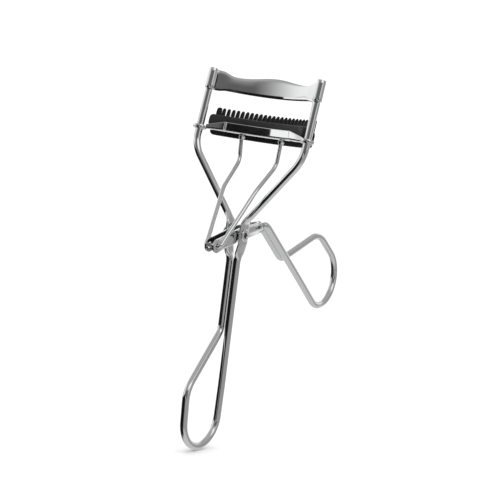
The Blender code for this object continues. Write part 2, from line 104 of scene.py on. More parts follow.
SHEET = 0.45
ARC_BULGE = 6.6
ARC_RADIUS = (POST_X**2 + ARC_BULGE**2) / (2 * ARC_BULGE)
JAW_RISE = 0.9
JAW_HALF_WIDTH = 2.1
JAW_BOTTOM = -0.55
CREASE_ANGLE = 23.6
EAR_STARTS_X = 12.4
EYELET_RADIUS = 1.735
EYELET_WALL = 0.63

PAD_HALF_ANGLE = 35.0
PAD_HALF_WIDTH = 1.3
PAD_BOTTOM = 0.8
PAD_TOP = 4.2
COMB_HALF_ANGLE = 33.0
COMB_GAP = 0.3
COMB_THICKNESS = 1.1
COMB_BOTTOM = -1.45
COMB_TOP = 3.8
TEETH = 25
TEETH_HALF_ANGLE = 30.5
TOOTH_WIDTH = 1.04
END_TOOTH_WIDTH = 1.55
TIP_STARTS = 4.4
TIP_LENGTH = 2.8

BORE_RADIUS = 1.1
END_ROUNDING = 0.25
SHARP_ANGLE = 38.0

# The view, in degrees and millimetres, and the studio, in metres.
CAMERA_ELEVATION = 6.05
CAMERA_ROLL = 7.10
CAMERA_DISTANCE = 391.3
CAMERA_LENS = 96.05
CAMERA_SHIFT = (0.027, -0.030)
FLOOR_RADIUS = 0.17
SOFTBOX_SIZE = 0.7
SOFTBOX_HEIGHT = 0.7
SOFTBOX_ENERGY = 1.2
SURROUND_BRIGHTNESS = 1.1


def to_world(point):
    return (DATUM + point) * MM


def smooth_step(value, low, high):
    t = max(0.0, min(1.0, (value - low) / (high - low)))
    return t * t * (3 - 2 * t)


# Mesh helpers


def close_band(shape, rings):
    """Adds a skin through rings of points that come back to the first one."""
    rows = [[shape.verts.new(to_world(point)) for point in ring] for ring in rings]
    skin_rows(shape, rows + rows[:1])


def close_loft(shape, rings):
    """Adds a skin through rings of points, closed by a cap at each end."""
    rows = [[shape.verts.new(to_world(point)) for point in ring] for ring in rings]
    skin_rows(shape, rows)
    shape.faces.new(list(reversed(rows[0])))
    shape.faces.new(rows[-1])


def skin_rows(shape, rows):
    """Joins each row of vertices to the next, all with the same number of vertices."""
    for row, following in zip(rows, rows[1:]):
        for i in range(len(row)):
            j = (i + 1) % len(row)
            shape.faces.new((row[i], row[j], following[j], following[i]))


def mesh_from(name, shape, angle=SHARP_ANGLE):
    bmesh.ops.recalc_face_normals(shape, faces=shape.faces)
    mesh = bpy.data.meshes.new(name)
    shape.to_mesh(mesh)
    shape.free()
    mesh.shade_smooth()
    mesh.set_sharp_from_angle(angle=math.radians(angle))
    return mesh


def loft_mesh(name, *lofts):
    shape = bmesh.new()
    for rings in lofts:
        close_loft(shape, rings)
    return mesh_from(name, shape)


def add_piece(name, mesh, material, body, node):
    """A finished piece that stands for a CAD node and rides on its body."""
    piece = bpy.data.objects.new(name, mesh)
    mesh.materials.append(material)
    bpy.context.scene.collection.objects.link(piece)
    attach(piece, body)
    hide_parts(node)
    return piece


def helper(name, mesh):
    """A cutter: it is used by a Boolean and then removed."""
    obj = bpy.data.objects.new(name, mesh)
    bpy.context.scene.collection.objects.link(obj)
    return obj


def cut_mesh(mesh, cutters, bevel=0.0):
    """The mesh less its cutters, its new edges bevelled."""
    blank = helper(mesh.name + "_blank", mesh)
    tools = [helper(cutter.name, cutter) for cutter in cutters]
    for tool in tools:
        modifier = blank.modifiers.new(tool.name, "BOOLEAN")
        modifier.object = tool
        modifier.solver = "EXACT"
    if bevel:
        modifier = blank.modifiers.new("edge", "BEVEL")
        modifier.width = bevel * MM
        modifier.segments = 2
        modifier.limit_method = "ANGLE"
        modifier.angle_limit = math.radians(40)
        blank.modifiers.new("flat_faces", "WEIGHTED_NORMAL")
    bpy.context.view_layer.update()
    evaluated = blank.evaluated_get(bpy.context.evaluated_depsgraph_get())
    result = bpy.data.meshes.new_from_object(evaluated)
    for obj in [blank] + tools:
        bpy.data.objects.remove(obj)
    result.shade_smooth()
    result.set_sharp_from_angle(angle=math.radians(SHARP_ANGLE))
    return result


def cylinder_mesh(name, centre, radius, length, sides=48):
    """A cylinder along X."""
    shape = bmesh.new()
    bmesh.ops.create_cone(
        shape,
        cap_ends=True,
        segments=sides,
        radius1=radius * MM,
        radius2=radius * MM,
        depth=length * MM,
        matrix=Matrix.Translation(to_world(centre)) @ Matrix.Rotation(math.radians(90), 4, "Y"),
    )
    return mesh_from(name, shape)


# Paths and sections


def rounded_path(corners, step=5.0):
    """Points along straight runs through corners, each corner a point and its bend radius."""
    points = [Vector(corners[0][0])]
    for before, (corner, radius), after in zip(corners, corners[1:], corners[2:]):
        corner = Vector(corner)
        back = (Vector(before[0]) - corner).normalized()
        ahead = (Vector(after[0]) - corner).normalized()
        turn = math.pi - back.angle(ahead)
        if radius == 0 or turn < 0.01:
            points.append(corner)
            continue
        reach = radius * math.tan(turn / 2)
        centre = corner + (back + ahead).normalized() * radius / math.cos(turn / 2)
        start = corner + back * reach - centre
        axis = start.cross(corner + ahead * reach - centre).normalized()
        steps = max(3, math.ceil(math.degrees(turn) / step))
        for i in range(steps + 1):
            points.append(centre + Matrix.Rotation(turn * i / steps, 3, axis) @ start)
    points.append(Vector(corners[-1][0]))
    return points


def subdivide_path(points, spacing, wanted):
    """The same path with points no further apart than spacing where wanted(point) is true."""
    result = [points[0]]
    for start, end in zip(points, points[1:]):
        near = wanted(start) or wanted(end) or wanted((start + end) / 2)
        count = math.ceil((end - start).length / spacing) if near else 1
        result += [start.lerp(end, i / count) for i in range(1, count + 1)]
    return result


def section(point, tangent, radius, flat=0.0, thickness=1.0, width=1.0, sides=28):
    """One ring of a wire: round, or pressed flat and square to X where flat is 1."""
    across = Vector((1, 0, 0)) - tangent * tangent.x
    across.normalize()
    side = tangent.cross(across)
    ring = []
    for k in range(sides):
        angle = 2 * math.pi * (k + 0.5) / sides
        pressed = max(-1.0, min(1.0, 1.5 * math.cos(angle)))
        a = (1 - flat) * radius * math.cos(angle) + flat * thickness / 2 * pressed
        b = ((1 - flat) * radius + flat * width / 2) * math.sin(angle)
        ring.append(point + across * a + side * b)
    return ring


def tangents(points):
    """The direction of a path at each of its points."""
    ends = zip([points[0]] + points[:-1], points[1:] + [points[-1]])
    return [(after - before).normalized() for before, after in ends]


def rounded_ends(rings, points, radius):
    """The rings with a small rounded edge at each end of the wire."""
    edges = []
    ends = ((rings[0], points[0], points[1]), (rings[-1], points[-1], points[-2]))
    for ring, point, inward in ends:
        outward = (point - inward).normalized()
        edge = []
        for angle in (90, 60, 30):
            turn = math.radians(angle)
            scale = 1 - END_ROUNDING * (1 - math.cos(turn))
            lift = outward * radius * END_ROUNDING * (math.sin(turn) - 1)
            edge.append([point + (vertex - point) * scale + lift for vertex in ring])
        edge.append([vertex - outward * radius * END_ROUNDING for vertex in ring])
        edges.append(edge)
    return edges[0] + rings[1:-1] + list(reversed(edges[1]))


def finger_loop(loop, place):
    """The corners of a finger loop; place(along, across, x) puts them in space."""
    end_radius = loop["width"] / 2 - 0.05
    return [
        (place(loop["bend"], 0, -LEG_X), 4.5),
        (place(loop["shoulder"], loop["width"], -0.5), 8.0),
        (place(loop["bottom"], loop["width"], 0.3), end_radius),
        (place(loop["bottom"], 0, 1.0), end_radius),
        (place(loop["shoulder"], 0, LEG_X), 0),
    ]


def on_post(sign, distance):
    return Vector((sign * POST_X, 0, 0)) + SHOULDER + POST_UP * distance


# The frame


def frame_mesh():
    step_to = SOCKET_ALONG_POST - 0.1

    def upper_corners(sign):
        return [
            (on_post(sign, SOCKET_ALONG_POST + SOCKET_HEIGHT - 0.4), 0),
            (on_post(sign, step_to), 0),
            (on_post(sign, step_to - 0.3), 0),
            (on_post(sign, 0), 10.0),
            (Vector((sign * CHEEK_X, 0, CHEEK_TOP_Z)), 3.5),
            (Vector((sign * CHEEK_X, 0, CHEEK_BOTTOM_Z)), 3.0),
            (Vector((sign * LEG_X, 0, LEGS_MEET_Z)), 3.0),
        ]

    loop = finger_loop(FIXED_LOOP, lambda along, across, x: Vector((x, -across, -along)))
    corners = upper_corners(-1) + loop + list(reversed(upper_corners(1)))
    points = subdivide_path(
        rounded_path(corners), 0.5, lambda p: abs(p.x) < 6 and -8 < p.z < 7.5
    )
    rings = []
    for point, tangent in zip(points, tangents(points)):
        near_pivot = abs(point.x) < 6 and point.z > -10
        pressed = smooth_step(point.z, 6.5, 3.2) * smooth_step(point.z, -7.0, -4.9)
        flat = pressed if near_pivot else 0.0
        radius = TENON_RADIUS if point.z > on_post(1, step_to).z - 0.01 else WIRE_RADIUS
        rings.append(section(point, tangent, radius, flat, CHEEK_THICKNESS, CHEEK_WIDTH))
    rings = rounded_ends(rings, points, TENON_RADIUS)
    wire = loft_mesh("bent_frame", rings)
    return cut_mesh(wire, [cylinder_mesh("frame_bore", RIVET, BORE_RADIUS, 12)])


def sheet_section(low, high, thickness=SHEET, edge=0.14, rows=1):
    """(offset, height) points round a strip's section, its four edges rounded."""
    half = thickness / 2
    points = []
    for side, end, first in ((1, high, 0), (-1, high, 90), (-1, low, 180), (1, low, 270)):
        centre = (side * (half - edge), end - edge if end == high else end + edge)
        for angle in (first, first + 45, first + 90):
            turn = math.radians(angle)
            points.append((centre[0] + edge * math.cos(turn), centre[1] + edge * math.sin(turn)))
        if first in (90, 270):
            start, target = high - edge, low + edge
            if first == 270:
                start, target = target, start
            for row in range(1, rows):
                points.append((side * half, start + (target - start) * row / rows))
    return points


def upper_jaw_mesh():
    """A strip bent to the arc, each end passing behind its post and curling round it."""
    curl = TENON_RADIUS + 0.2 + SHEET / 2
    turn = math.degrees(math.asin(13.0 / ARC_RADIUS))
    count = 28
    arc = [arc_point(-turn + 2 * turn * i / count, 0) for i in range(count + 1)]
    curls = []
    for i in range(45):
        angle = math.radians(66 - 275 * i / 44)
        curls.append(Vector((POST_X + curl * math.cos(angle), curl * math.sin(angle), 0)))
    straight = [arc[-1].lerp(curls[0], t / 8) for t in range(1, 8)]
    mirror = Matrix.Diagonal((-1, 1, 1))
    right = straight + curls
    path = [mirror @ point for point in reversed(right)] + arc + right

    def top(x):
        middle = 5.2 + 0.75 * (1 + math.cos(math.pi * min(x, 12.5) / 12.5))
        return middle + (SOCKET_HEIGHT - 5.2) * smooth_step(x, 12.5, 16.6)

    def bottom(x):
        rise = 0.25 + 0.4 * max(0.0, arc_y(x)) / ARC_BULGE
        return rise * smooth_step(x, 16.6, 14.5)

    base = SHOULDER + POST_UP * SOCKET_ALONG_POST
    rings = []
    for point, along in zip(path, tangents(path)):
        normal = Vector((-along.y, along.x, 0))
        low, high = bottom(abs(point.x)), top(abs(point.x))
        crown = 0.16 * smooth_step(abs(point.x), 16.0, 12.5)
        ring = []
        for a, b in sheet_section(low, high, rows=6):
            offset = a - crown * (1 - (2 * (b - low) / (high - low) - 1) ** 2)
            ring.append(leaned(base, point + normal * offset + Vector((0, 0, b))))
        rings.append(ring)
    return loft_mesh("curved_upper_jaw", rings)


def leaned(base, point):
    """A point given across, behind and along the posts, from base."""
    return base + Vector((point.x, 0, 0)) + POST_BACK * point.y + POST_UP * point.z


def arc_y(x):
    """How far behind the posts the jaws' arc lies at this x."""
    return ARC_BULGE - ARC_RADIUS + math.sqrt(ARC_RADIUS**2 - x**2)


def arc_point(angle, offset, height=0.0):
    turn = math.radians(angle)
    radius = ARC_RADIUS + offset
    behind = ARC_BULGE - ARC_RADIUS + radius * math.cos(turn)
    return Vector((radius * math.sin(turn), behind, height))


def rivet_mesh():
    """A semi-tubular rivet, its rolled rim on the right."""
    inner = CHEEK_X + CHEEK_THICKNESS / 2 + 0.2
    outer = inner + 0.5
    profile = [(0, outer - 0.46), (0.7, outer - 0.46), (0.86, outer - 0.4), (0.95, outer - 0.25)]
    profile += [(1.05, outer - 0.08), (1.25, outer), (1.5, outer - 0.02), (1.72, outer - 0.12)]
    profile += [(1.88, outer - 0.3), (1.86, inner + 0.04), (1.78, inner), (0.8, inner)]
    profile += [(0.8, -inner), (1.78, -inner), (1.88, -inner - 0.08), (1.84, -inner - 0.2)]
    profile += [(1.5, -outer + 0.1), (1.0, -outer), (0.5, -outer - 0.07), (0, -outer - 0.1)]
    sides = 56
    shape = bmesh.new()
    rings = []
    for radius, x in profile:
        ring = []
        for k in range(sides):
            turn = 2 * math.pi * k / sides
            ring.append(RIVET + Vector((x, radius * math.cos(turn), radius * math.sin(turn))))
        rings.append(ring)
    close_loft(shape, rings)
    bmesh.ops.remove_doubles(shape, verts=shape.verts, dist=1e-7)
    return mesh_from("pivot_rivet_piece", shape, 50)


# The lever and handle


def on_lever(y, z, x=0.0):
    """A point given along and above the lever's axis."""
    return RIVET + Matrix.Rotation(math.radians(LEVER_TILT), 3, "X") @ Vector((x, y, z))


def arc_points(centre, radius, start, end, steps):
    """(y, z) points on an arc between two angles in degrees."""
    angles = [math.radians(start + (end - start) * i / steps) for i in range(steps + 1)]
    return [(centre[0] + radius * math.cos(a), centre[1] + radius * math.sin(a)) for a in angles]


def plate_mesh(name, outline, half_width, folded=(), fold=0.0):
    """A flat outline on the lever, extruded to both sides; folded points rise round the edges."""
    slices = [(-half_width, fold), (half_width, fold)]
    if fold:
        turns = [math.radians(90 * i / 5) for i in range(6)]
        arc = [(half_width - fold + fold * math.sin(t), fold * (1 - math.cos(t))) for t in turns]
        slices = [(-x, lift) for x, lift in reversed(arc)] + arc
    rings = []
    for x, lift in slices:
        rings.append([on_lever(y, z + lift * ((y, z) in folded), x) for y, z in outline])
    return loft_mesh(name, rings)


def lever_mesh():
    bottom = [(-9.0, -3.0), (-4.0, -2.63), (0.5, -2.3), (6.5, -2.1), (LEVER_END, -1.75)]
    top = [(LEVER_END, 1.1), (9.5, 1.5), (6.5, 1.75), (3.0, 1.9), (0.5, 1.9), (-4.0, 1.5)]
    top += [(-7.5, 1.15), (-9.5, 0.95)]
    ears = arc_points((-HOOK_BACK, -HOOK_DROP), 2.0, 85, 275, 28)
    blank = plate_mesh("lever_channel", ears + bottom + top, LEVER_HALF_WIDTH, bottom, 0.55)
    trough = [(-16, -5), (-9.6, -5), (-9.2, -2.9), (-8.8, -2.45), (0.5, -1.75), (6.5, -1.55)]
    trough += [(16, -1.05), (16, 4), (-16, 4)]
    hollow = plate_mesh("lever_hollow", trough, LEVER_HALF_WIDTH - LEVER_WALL)
    slot = arc_points((8.9, 0.35), 0.45, 90, 270, 10) + arc_points((11.4, 0.25), 0.45, -90, 90, 10)
    cutters = [
        hollow,
        cylinder_mesh("lever_bore", RIVET, BORE_RADIUS, 10),
        cylinder_mesh("ear_bore", HOOK, PUSH_RADIUS + 0.3, 10, 32),
        plate_mesh("crimp_window", slot, 5),
    ]
    return cut_mesh(blank, cutters, 0.09)


def handle_mesh():
    drop = math.radians(HANDLE_DROP)
    offset = HANDLE_CORNER * math.sin(drop)

    def place(along, across, x):
        out = offset + across
        y = along * math.cos(drop) + out * math.sin(drop)
        z = out * math.cos(drop) - along * math.sin(drop)
        return Vector((x, y, z))

    def upper_corners(sign):
        return [
            (Vector((sign * TONGUE_X, 5.6, 0)), 0),
            (Vector((sign * TONGUE_X, LEVER_END, 0)), 0.6),
            (Vector((sign * LEG_X, HANDLE_CORNER - 1.3, 0)), 0.6),
            (Vector((sign * LEG_X, HANDLE_CORNER, 0)), 3.0),
        ]

    corners = upper_corners(-1) + finger_loop(HANDLE_LOOP, place) + upper_corners(1)[::-1]
    points = subdivide_path(
        rounded_path(corners), 0.4, lambda p: LEVER_END - 1 < p.y < LEVER_END + 2 and p.z > -1
    )
    rings = []
    for point, tangent in zip(points, tangents(points)):
        in_channel = point.y < HANDLE_CORNER and point.z > -1
        flat = smooth_step(point.y, LEVER_END + 1.6, LEVER_END) if in_channel else 0.0
        ring = section(point, tangent, WIRE_RADIUS, flat, TONGUE_THICKNESS, 1.94)
        rings.append([on_lever(p.y, p.z, p.x) for p in ring])
    placed = [on_lever(p.y, p.z, p.x) for p in points]
    return loft_mesh("looped_handle", rounded_ends(rings, placed, 0.6))


# The push wire


def push_wire_mesh():
    behind = arc_y(JAW_HOLE_X)
    eyelet = SHOULDER + POST_UP * EYELET_ALONG_POST
    top = leaned(eyelet, Vector((JAW_HOLE_X, behind, JAW_RISE * behind / ARC_BULGE)))
    side = [
        (top - POST_UP * 2.3, 0),
        (Vector((6.35, 7.0, 21.3)), 5.0),
        (Vector((5.5, -1.5, 13.6)), 12.0),
        (Vector((PUSH_X, HOOK.y + 0.9, HOOK.z + 1.2)), 1.2),
        (Vector((PUSH_X - 0.15, HOOK.y, HOOK.z)), 0.8),
        (Vector((0, HOOK.y, HOOK.z)), 0),
    ]
    right = [(point, 1.0) for point in rounded_path(side, 6.0)]
    collar = [(0.56, 0.9), (0.55, 1.2), (0.47, 1.52), (0.35, 1.66), (0.24, 1.68), (0.16, 1.5)]
    collar += [(0.15, 1.0), (-0.78, 1.0), (-0.82, 1.4), (-0.95, 1.62), (-1.2, 1.58)]
    collar += [(-1.5, 1.3), (-1.85, 1.06), (-2.1, 1.0)]
    half = [(top + POST_UP * height, scale) for height, scale in collar] + right
    mirror = Matrix.Diagonal((-1, 1, 1))
    whole = half + [(mirror @ point, scale) for point, scale in reversed(half[:-1])]
    points = [point for point, _ in whole]
    rings = []
    for (point, scale), tangent in zip(whole, tangents(points)):
        rings.append(round_section(point, tangent, PUSH_RADIUS * scale))
    return loft_mesh("push_rod", rings)


def round_section(point, tangent, radius, sides=22):
    """A round ring whose seam stays square to Y, so that it also works for a run along X."""
    across = Vector((0, 1, 0)) - tangent * tangent.y
    across.normalize()
    side = tangent.cross(across)
    angles = [2 * math.pi * k / sides for k in range(sides)]
    return [point + (across * math.cos(a) + side * math.sin(a)) * radius for a in angles]


# The sliding jaw


def risen(angle, offset, height):
    """A point on the lower jaw's arc, which bows upwards in the middle."""
    behind = ARC_BULGE - ARC_RADIUS * (1 - math.cos(math.radians(angle)))
    point = arc_point(angle, offset, height + JAW_RISE * behind / ARC_BULGE)
    return leaned(SHOULDER + POST_UP * EYELET_ALONG_POST, point)


def channel_section(near, far, near_top, far_top):
    """(offset, height) points round the channel's section, its folds and edges rounded."""
    wall = 0.5
    floor = JAW_BOTTOM + wall
    points = []

    def corner(x, y, radius, first, turn):
        for step in range(4):
            angle = math.radians(first + turn * step / 3)
            points.append((x + radius * math.cos(angle), y + radius * math.sin(angle)))

    points.append((near, JAW_BOTTOM + 0.55))
    corner(near + 0.45, JAW_BOTTOM + 0.45, 0.45, 180, 90)
    corner(far - 0.45, JAW_BOTTOM + 0.45, 0.45, 270, 90)
    corner(far - 0.15, far_top - 0.15, 0.15, 0, 90)
    corner(far - wall + 0.15, far_top - 0.15, 0.15, 90, 90)
    corner(far - wall - 0.1, floor + 0.1, 0.1, 0, -90)
    corner(near + wall + 0.1, floor + 0.1, 0.1, 270, -90)
    corner(near + wall - 0.15, near_top - 0.15, 0.15, 0, 90)
    corner(near + 0.15, near_top - 0.15, 0.15, 90, 90)
    points.append((near, near_top - 0.22))
    return points


def jaw_mesh():
    """A curved channel; past a crease each end runs straight to an eyelet round its post."""
    eyelet = SHOULDER + POST_UP * EYELET_ALONG_POST
    crease = arc_point(CREASE_ANGLE, 0)
    post = Vector((POST_X, 0, 0))
    ear_end = post + (crease - post).normalized() * 1.72
    centre = [arc_point(-CREASE_ANGLE + 2 * CREASE_ANGLE * i / 30, 0) for i in range(31)]
    ear = [crease.lerp(ear_end, (i / 16) ** 1.3) for i in range(1, 17)]
    mirror = Matrix.Diagonal((-1, 1, 1))
    path = [mirror @ point for point in reversed(ear)] + centre + ear
    rings = []
    for point, along in zip(path, tangents(path)):
        x = abs(point.x)
        normal = Vector((-along.y, along.x, 0))
        ear_part = smooth_step(x, 11.8, EAR_STARTS_X)
        taper = max(0.0, min(1.0, (x - EAR_STARTS_X) / (ear_end.x - EAR_STARTS_X)))
        near = -JAW_HALF_WIDTH - 0.3 * ear_part + 1.65 * taper
        far = JAW_HALF_WIDTH - 1.45 * taper
        near_top = 2.1 - 1.3 * taper
        far_top = 1.4 - 1.0 * smooth_step(x, 12.0, 14.5)
        rise = JAW_RISE * max(0.0, arc_y(x)) / ARC_BULGE
        profile = channel_section(near, far, near_top, max(far_top, 0.35))
        ring = []
        for a, b in profile:
            flare = -0.12 * (b - JAW_BOTTOM) * (1 - 0.5 * taper) if a < 0 else 0.0
            ring.append(point + normal * (a + flare) + Vector((0, 0, b + rise)))
        rings.append([leaned(eyelet, p) for p in ring])
    shape = bmesh.new()
    close_loft(shape, rings)
    for place in (mirror @ post, post):
        close_band(shape, eyelet_rings(place, eyelet))
    return mesh_from("jaw_channel", shape)


def eyelet_rings(post, eyelet):
    """Rings round a post, each one a section of the eyelet."""
    rings = []
    for k in range(48):
        turn = 2 * math.pi * k / 48
        outward = Vector((math.cos(turn), math.sin(turn), 0))
        profile = sheet_section(JAW_BOTTOM - 0.15, JAW_BOTTOM + 0.95, EYELET_WALL, 0.2)
        ring = [post + outward * (EYELET_RADIUS + a) + Vector((0, 0, b)) for a, b in profile]
        rings.append([leaned(eyelet, p) for p in ring])
    return rings


def rounded_box(low, high, inner, outer, edge, steps=4):
    """(offset, height) points round a rectangle with rounded corners."""
    points = []
    corners = ((outer, high, 0), (inner, high, 90), (inner, low, 180), (outer, low, 270))
    for x, y, first in corners:
        centre_x = x - edge if x == outer else x + edge
        centre_y = y - edge if y == high else y + edge
        for step in range(steps + 1):
            turn = math.radians(first + 90 * step / steps)
            points.append((centre_x + edge * math.cos(turn), centre_y + edge * math.sin(turn)))
    return points


def strip_rings(limit, low, high, inner, outer, edge, end_radius):
    """Rings of a curved bar along the jaw's arc, its ends rounded off in height."""
    rings = []
    count = 60
    for i in range(count + 1):
        t = math.sin(math.pi / 2 * (2 * i / count - 1))
        angle = limit * t
        left = math.radians(limit - abs(angle)) * ARC_RADIUS
        reach = min(1.0, left / end_radius)
        inset = end_radius * (1 - math.sqrt(max(0.0, 1 - (1 - reach) ** 2))) * 0.98
        rounding = min(edge, 0.49 * (high - low))
        profile = rounded_box(low + inset, high - inset, inner, outer, rounding)
        rings.append([risen(angle, a, b) for a, b in profile])
    return rings


def pad_mesh():
    half = PAD_HALF_WIDTH
    rings = strip_rings(PAD_HALF_ANGLE, PAD_BOTTOM, PAD_TOP, -half, half, 0.55, 1.0)
    return loft_mesh("silicone_pad", rings)


def comb_mesh():
    """A curved bar behind the channel with a row of fins that lean away at their tips."""
    near = JAW_HALF_WIDTH + COMB_GAP
    far = near + COMB_THICKNESS
    bar = strip_rings(COMB_HALF_ANGLE, COMB_BOTTOM, COMB_TOP, near, far, 0.3, 1.3)
    fins = [fin_rings(i, near, far) for i in range(TEETH)]
    return loft_mesh("fin_comb", bar, *fins)


def fin_rings(index, near, far):
    """Rings across one fin, which narrows and rounds off towards its tip."""
    angle = TEETH_HALF_ANGLE * (2 * index / (TEETH - 1) - 1)
    width = END_TOOTH_WIDTH if index in (0, TEETH - 1) else TOOTH_WIDTH
    outline = [(near + 0.1, 3.0), (near + 0.12, 4.4), (near + 0.2, 5.3), (near + 0.36, 6.1)]
    outline += [(near + 0.58, 6.65), (near + 0.8, 7.0), (far - 0.1, 7.2), (far - 0.02, 6.9)]
    outline += [(far - 0.1, 5.4), (far - 0.1, 3.0)]
    rings = []
    for side in (-1, -0.92, -0.7, -0.35, 0, 0.35, 0.7, 0.92, 1):
        drop = 0.5 * (1 - math.sqrt(1 - 0.96 * side**2))
        ring = []
        for offset, height in outline:
            tip = max(0.0, (height - TIP_STARTS) / TIP_LENGTH)
            turn = math.degrees(side * width / 2 * (1 - 0.14 * tip**2) / ARC_RADIUS)
            ring.append(risen(angle + turn, offset, height - drop * tip))
        rings.append(ring)
    return rings


# Materials


class Nodes:
    """Shorthand for one material's node tree."""

    def __init__(self, name):
        self.material = bpy.data.materials.new(name)
        self.material.use_nodes = True
        self.tree = self.material.node_tree
        self.shader = self.tree.nodes["Principled BSDF"]
        self.coordinates = self.add("ShaderNodeTexCoord").outputs["Object"]

    def add(self, kind, **settings):
        node = self.tree.nodes.new(kind)
        for key, value in settings.items():
            setattr(node, key, value)
        return node

    def link(self, source, target):
        self.tree.links.new(source, target)

    def noise(self, scale, detail=3.0, stretch=(1, 1, 1)):
        mapping = self.add("ShaderNodeMapping")
        mapping.inputs["Scale"].default_value = stretch
        self.link(self.coordinates, mapping.inputs["Vector"])
        noise = self.add("ShaderNodeTexNoise")
        noise.inputs["Scale"].default_value = scale
        noise.inputs["Detail"].default_value = detail
        self.link(mapping.outputs["Vector"], noise.inputs["Vector"])
        return noise.outputs["Fac"]

    def ramp(self, source, low, high, first, last, **settings):
        """A map from low..high of source to first..last."""
        node = self.add("ShaderNodeMapRange", **settings)
        for socket, value in zip(node.inputs[1:5], (low, high, first, last)):
            socket.default_value = value
        self.link(source, node.inputs["Value"])
        return node.outputs["Result"]

    def colours(self, source, first, last):
        node = self.add("ShaderNodeValToRGB")
        node.color_ramp.elements[0].color = (*first, 1)
        node.color_ramp.elements[1].color = (*last, 1)
        self.link(source, node.inputs["Fac"])
        return node.outputs["Color"]

    def bump(self, *layers):
        """Bumps (height, strength, distance in mm), each laid over the one before."""
        normal = None
        for height, strength, distance in layers:
            node = self.add("ShaderNodeBump")
            node.inputs["Strength"].default_value = strength
            node.inputs["Distance"].default_value = distance * MM
            self.link(height, node.inputs["Height"])
            if normal:
                self.link(normal, node.inputs["Normal"])
            normal = node.outputs["Normal"]
        self.link(normal, self.shader.inputs["Normal"])


def chrome(name, roughness, tint):
    """Bright plate over drawn steel: faint waves, fine rubbing marks and dull finger films."""
    nodes = Nodes(name)
    nodes.shader.inputs["Metallic"].default_value = 1.0
    film = nodes.noise(240, 4)
    marks = nodes.noise(900, 2, (1, 1, 0.12))
    shade = nodes.colours(film, [c * 0.93 for c in tint], tint)
    nodes.link(shade, nodes.shader.inputs["Base Color"])
    dull = nodes.add("ShaderNodeMath", operation="ADD")
    nodes.link(nodes.ramp(film, 0.45, 0.75, roughness * 0.7, roughness * 1.7), dull.inputs[0])
    nodes.link(nodes.ramp(marks, 0.55, 0.8, 0.0, 0.05), dull.inputs[1])
    nodes.link(dull.outputs[0], nodes.shader.inputs["Roughness"])
    nodes.bump((nodes.noise(160, 2), 0.12, 0.05), (marks, 0.05, 0.01))
    return nodes.material


def moulded_plastic():
    """Black moulded plastic: a fine satin grain and a faint cloudy variation in tone."""
    nodes = Nodes("comb_plastic_finish")
    nodes.shader.inputs["Specular IOR Level"].default_value = 0.22
    grain = nodes.noise(2600, 3)
    cloud = nodes.noise(300, 4)
    shade = nodes.colours(cloud, (0.004, 0.004, 0.0045), (0.011, 0.011, 0.012))
    nodes.link(shade, nodes.shader.inputs["Base Color"])
    nodes.link(nodes.ramp(cloud, 0.35, 0.7, 0.28, 0.42), nodes.shader.inputs["Roughness"])
    nodes.bump((grain, 0.25, 0.012))
    return nodes.material


def silicone():
    """Black silicone: matt, with a soft sheen and a faint dusting."""
    nodes = Nodes("pad_silicone_finish")
    nodes.shader.inputs["Specular IOR Level"].default_value = 0.3
    dust = nodes.noise(1500, 5)
    cloud = nodes.noise(260, 3)
    shade = nodes.colours(cloud, (0.011, 0.011, 0.012), (0.022, 0.022, 0.023))
    nodes.link(shade, nodes.shader.inputs["Base Color"])
    nodes.link(nodes.ramp(dust, 0.4, 0.7, 0.42, 0.62), nodes.shader.inputs["Roughness"])
    nodes.shader.inputs["Sheen Weight"].default_value = 0.06
    nodes.shader.inputs["Sheen Roughness"].default_value = 0.4
    nodes.bump((dust, 0.3, 0.015))
    return nodes.material


def pale_floor():
    nodes = Nodes("floor_finish")
    cloud = nodes.noise(6, 3)
    shade = nodes.colours(cloud, (0.9, 0.9, 0.9), (0.93, 0.93, 0.93))
    nodes.link(shade, nodes.shader.inputs["Base Color"])
    nodes.shader.inputs["Roughness"].default_value = 0.8
    return nodes.material


# The object


def assign_faces(piece, material, chosen):
    """Gives the faces for which chosen(centre, normal) is true another material."""
    piece.data.materials.append(material)
    for face in piece.data.polygons:
        if chosen(face.center / MM - DATUM, face.normal):
            face.material_index = 1


# The faces inside the lever's channel, which are given a painted shade.
def in_trough(centre, normal):
    within = abs(centre.x) < LEVER_HALF_WIDTH - LEVER_WALL + 0.01
    return within and (abs(normal.x) > 0.9 or normal.z > 0.6)


# The faces inside the rivet's hollow, which are given a painted shade.
def in_rivet_hollow(centre, normal):
    return centre.x > 3 and (centre - RIVET - Vector((centre.x, 0, 0))).length < 0.96


def build_object():
    polished = chrome("polished_steel_finish", 0.06, (0.86, 0.863, 0.87))
    handle = chrome("handle_steel_finish", 0.16, (0.86, 0.863, 0.87))
    # The lever's trough: a rougher, less polished steel, and its darker tint is painted shade
    # inside the channel.
    inside = chrome("handle_steel_trough_painted_shade", 0.3, (0.42, 0.42, 0.425))
    # A near-black steel for the rivet's hollow: painted shade in the deep recess.
    hollow = chrome("rivet_hollow_painted_shade", 0.35, (0.1, 0.1, 0.102))
    add_piece("bent_frame", frame_mesh(), polished, "frame", "frame_wire")
    add_piece(
        "curved_upper_jaw", upper_jaw_mesh(), polished, "frame", "upper_jaw"
    )
    rivet = add_piece(
        "headed_rivet", rivet_mesh(), polished, "frame", "pivot_rivet"
    )
    # Painted shade: the rivet's hollow is darkened with the near-black steel.
    assign_faces(rivet, hollow, in_rivet_hollow)
    lever = add_piece(
        "lever_channel", lever_mesh(), handle, "lever", "lever_bracket"
    )
    # Painted shade: the faces inside the lever's trough get the darker steel.
    assign_faces(lever, inside, in_trough)
    add_piece("looped_handle", handle_mesh(), handle, "lever", "handle_wire")
    add_piece("push_rod", push_wire_mesh(), polished, "pusher", "push_wire")
    add_piece("jaw_channel", jaw_mesh(), polished, "jaw", "lower_jaw")
    pad = add_piece("silicone_pad", pad_mesh(), silicone(), "jaw", "lash_pad")
    add_piece("fin_comb", comb_mesh(), moulded_plastic(), "jaw", "lash_comb")


# The studio


